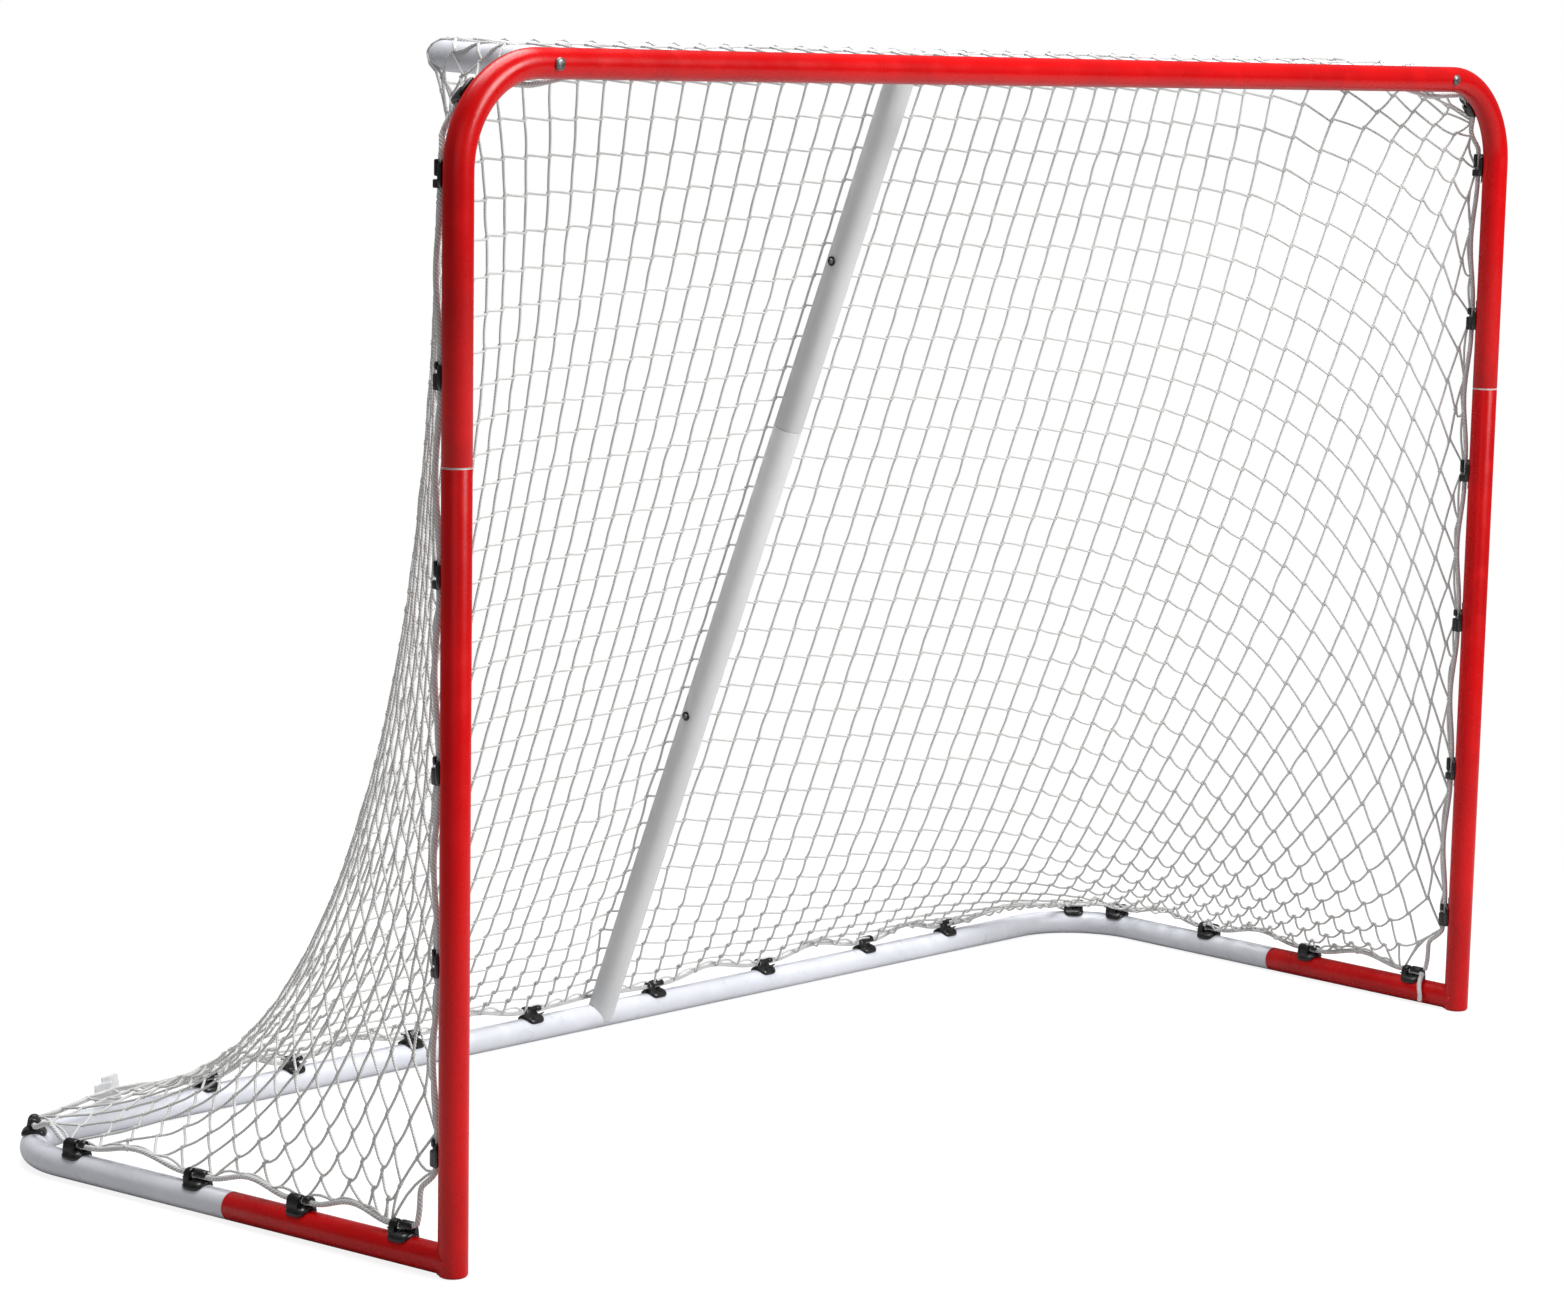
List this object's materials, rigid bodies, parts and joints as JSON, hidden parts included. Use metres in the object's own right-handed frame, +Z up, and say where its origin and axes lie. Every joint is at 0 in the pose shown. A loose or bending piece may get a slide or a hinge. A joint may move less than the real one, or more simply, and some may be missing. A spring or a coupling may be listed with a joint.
{
  "type": "hockey goal",
  "caption": "Knock-down street hockey goal: red tube mouth, splayed white base, shallow top shelf, centre brace and a knotted white net held by black clips",
  "frame": {"origin": "on the floor, midway between the posts and midway between the front of the crossbar bolts and the back of the base", "axes": "+X runs along the crossbar to the right as seen from the front, +Y runs from the mouth to the back, +Z is up"},
  "size_m": [1.922, 0.7274, 1.2341],
  "materials": {
    "red_powder_coat": "gloss",
    "white_powder_coat": "gloss",
    "grey_powder_coat": "satin",
    "zinc_plate": "satin",
    "black_plastic": "gloss",
    "white_rope": "matte",
    "white_twine": "matte",
    "white_fabric": "matte"
  },
  "bodies": {
    "root": {"base_frame": "white_powder_coat", "border_rope": "white_rope", "brace_lower": "grey_powder_coat", "brace_screw_lower": "zinc_plate", "brace_screw_upper": "zinc_plate", "brace_upper": "grey_powder_coat", "brace_washer_lower": "black_plastic", "brace_washer_upper": "black_plastic", "clip_crossbar_left_1": "black_plastic", "clip_crossbar_left_2": "black_plastic", "clip_crossbar_left_3": "black_plastic", "clip_crossbar_right_1": "black_plastic", "clip_crossbar_right_2": "black_plastic", "clip_crossbar_right_3": "black_plastic", "clip_leg_left_1": "black_plastic", "clip_leg_left_2": "black_plastic", "clip_leg_left_3": "black_plastic", "clip_leg_left_4": "black_plastic", "clip_leg_right_1": "black_plastic", "clip_leg_right_2": "black_plastic", "clip_leg_right_3": "black_plastic", "clip_leg_right_4": "black_plastic", "clip_post_left_1": "black_plastic", "clip_post_left_2": "black_plastic", "clip_post_left_3": "black_plastic", "clip_post_left_4": "black_plastic", "clip_post_left_5": "black_plastic", "clip_post_left_6": "black_plastic", "clip_post_right_1": "black_plastic", "clip_post_right_2": "black_plastic", "clip_post_right_3": "black_plastic", "clip_post_right_4": "black_plastic", "clip_post_right_5": "black_plastic", "clip_post_right_6": "black_plastic", "clip_rail_left_1": "black_plastic", "clip_rail_left_2": "black_plastic", "clip_rail_left_3": "black_plastic", "clip_rail_left_4": "black_plastic", "clip_rail_right_1": "black_plastic", "clip_rail_right_2": "black_plastic", "clip_rail_right_3": "black_plastic", "clip_rail_right_4": "black_plastic", "clip_rear_corner_left": "black_plastic", "clip_rear_corner_right": "black_plastic", "clip_top_corner_left": "black_plastic", "clip_top_corner_right": "black_plastic", "crossbar_bolt_left": "zinc_plate", "crossbar_bolt_right": "zinc_plate", "front_frame": "red_powder_coat", "lower_post_left": "red_powder_coat", "lower_post_right": "red_powder_coat", "net_back_left": "white_twine", "net_back_right": "white_twine", "net_side_left": "white_twine", "net_side_right": "white_twine", "net_tag": "white_fabric", "net_top": "white_twine", "shelf_insert_left": "zinc_plate", "shelf_insert_right": "zinc_plate", "top_shelf": "white_powder_coat"}
  },
  "joints": []
}
